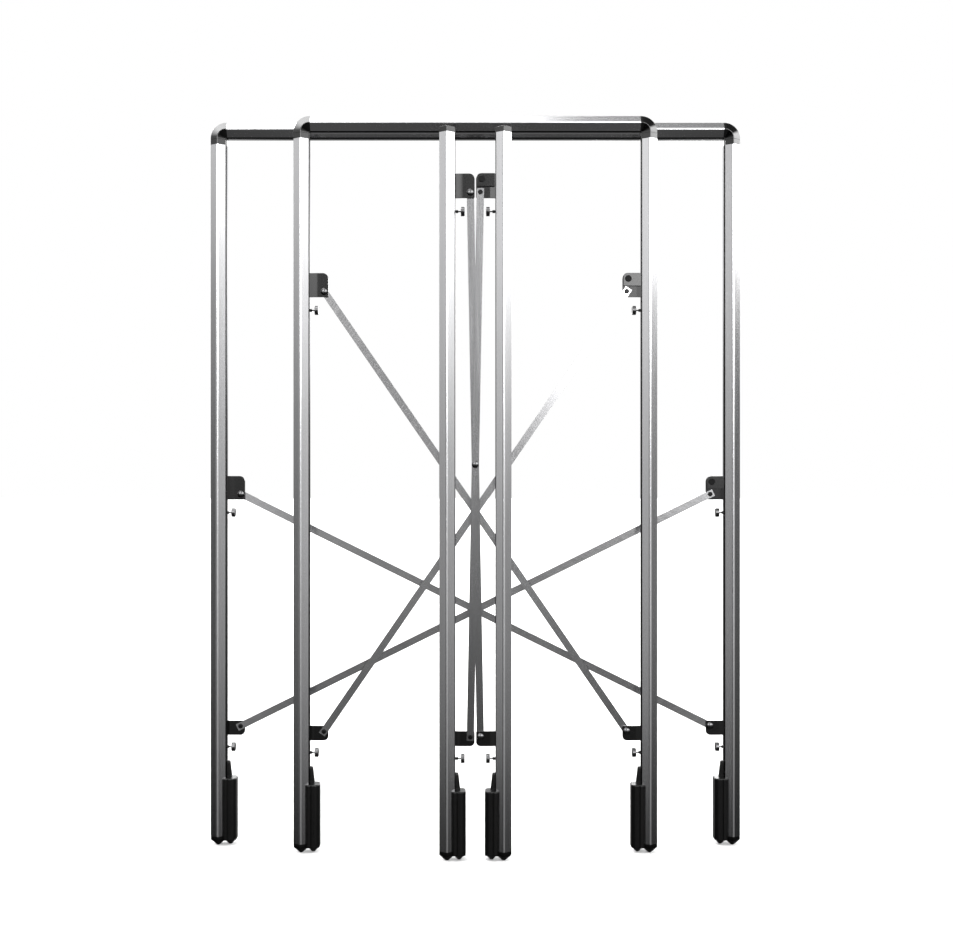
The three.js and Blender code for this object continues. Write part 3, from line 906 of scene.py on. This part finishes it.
def side_panels(studio):
    """A tall panel to each side, dark near the floor."""
    up = studio.curve(studio.z, [
        (-1, 0.03), (-0.4, 0.03), (-0.28, 0.025), (-0.25, 0.05), (-0.22, 0.18), (-0.18, 0.3),
        (-0.1, 0.42), (-0.04, 0.52), (0.07, 0.78), (0.14, 1.0), (0.3, 1.1), (1, 0.5)])
    around = studio.curve(studio.turn, [
        (0, 0), (45, 0), (58, 0.2), (62.8, 0.66), (66.3, 0.95), (72, 0.95), (75, 0.55), (78, 0.42),
        (82, 0.36), (85, 0.09), (90, 0.04)])
    return studio.times(up, around)


def right_panel(studio):
    """More light on the right panel, above the horizon."""
    up = studio.curve(studio.z, [(-1, 0), (0.02, 0), (0.07, 0.6), (0.13, 1), (0.6, 1), (1, 0)])
    around = studio.curve(studio.turn, [(0, 0), (64, 0), (72, 0.5), (75, 1), (79, 0.3), (81, 0), (90, 0)])
    right = studio.curve(studio.x, [(-1, 0), (0, 0), (0.3, 1), (1, 1)])
    return studio.times(up, around, right, 0.7)


def right_box(studio):
    """A bright box high up, far round to the right."""
    up = studio.curve(studio.z, [
        (-1, 0), (0.1, 0), (0.145, 0.04), (0.18, 0.4), (0.21, 1), (0.5, 1), (0.62, 0), (1, 0)])
    around = studio.curve(studio.turn, [
        (0, 0), (54, 0), (62, 0.12), (72, 0.12), (77, 0.3), (81, 0.6), (85, 0.8), (90, 0.8)])
    right = studio.curve(studio.x, [(-1, 0), (0, 0), (0.3, 1), (1, 1)])
    return studio.times(up, around, right, 9.0)


def left_high(studio):
    """Soft light high up, at the very left."""
    up = studio.curve(studio.z, [
        (-1, 0), (0, 0), (0.07, 0.1), (0.126, 0.17), (0.18, 0.36), (0.223, 0.5), (0.5, 0.5), (1, 0)])
    around = studio.curve(studio.turn, [(0, 0), (78, 0), (83, 1), (90, 1)])
    left = studio.curve(studio.x, [(-1, 1), (-0.3, 1), (0, 0), (1, 0)])
    return studio.times(up, around, left)


def left_strip(studio):
    """A strip overhead, on the left."""
    up = studio.curve(studio.z, [(-1, 0), (0.35, 0), (0.62, 0.7), (0.75, 1), (1, 1)])
    left = studio.curve(studio.x, [(-1, 1), (-0.02, 1), (0.03, 0), (1, 0)])
    overhead = studio.curve(studio.depth, [(0, 1), (0.25, 1), (0.38, 0), (1, 0)])
    return studio.times(up, left, overhead, 6.5)


def glow(studio):
    """A small bright patch just above the horizon and just right of the middle."""
    up = studio.curve(studio.z, [
        (-1, 0), (-0.02, 0), (0.02, 0.1), (0.05, 0.35), (0.075, 1), (0.16, 1), (0.22, 0), (1, 0)])
    across = studio.curve(studio.x, [
        (-1, 0), (0.05, 0), (0.07, 0.4), (0.085, 1), (0.16, 1), (0.2, 0.3), (0.3, 0), (1, 0)])
    around = studio.curve(studio.turn, [(0, 1), (12, 1), (20, 0), (90, 0)])
    return studio.times(up, across, around, 8.0)


def studio_world():
    """The light is the same in front and behind, and reaches the object only as these panels."""
    studio = Studio()
    panels = (front_gap, front_wall, side_panels, right_panel, right_box, left_high, left_strip, glow)
    studio.finish(studio.plus(*[panel(studio) for panel in panels]))


def make_floor():
    """A wide pale floor that neither lights the object nor shows in it."""
    bpy.ops.mesh.primitive_plane_add(size=60)
    floor = bpy.context.object
    floor.name = "studio_floor"
    material, tree, shader = nodes_of("pale_floor")
    clouds = noise(tree, object_space(tree), scale=1.5, detail=2)
    tree.links.new(tint(tree, clouds, (0.90, 0.90, 0.90), (0.92, 0.92, 0.92)), shader.inputs["Base Color"])
    shader.inputs["Roughness"].default_value = 0.9
    shader.inputs["Specular IOR Level"].default_value = 0.0
    floor.data.materials.append(material)
    floor.visible_glossy = floor.visible_diffuse = False


def make_camera():
    """The camera stands square in front of the front frame."""
    away, up = 3442, 1050
    data = bpy.data.cameras.new("camera")
    data.lens, data.sensor_width = 50, 36
    data.shift_x, data.shift_y = 0.0012, -0.0199
    data.clip_end = 200
    camera = add_object("camera", data)
    camera.location = (0, (POSTS["front", "left"].y - away) * MM, up * MM)
    camera.rotation_euler = (math.pi / 2, 0, 0)
    bpy.context.scene.camera = camera


studio_world()
make_floor()
make_camera()
bpy.context.scene.view_settings.view_transform = "Standard"
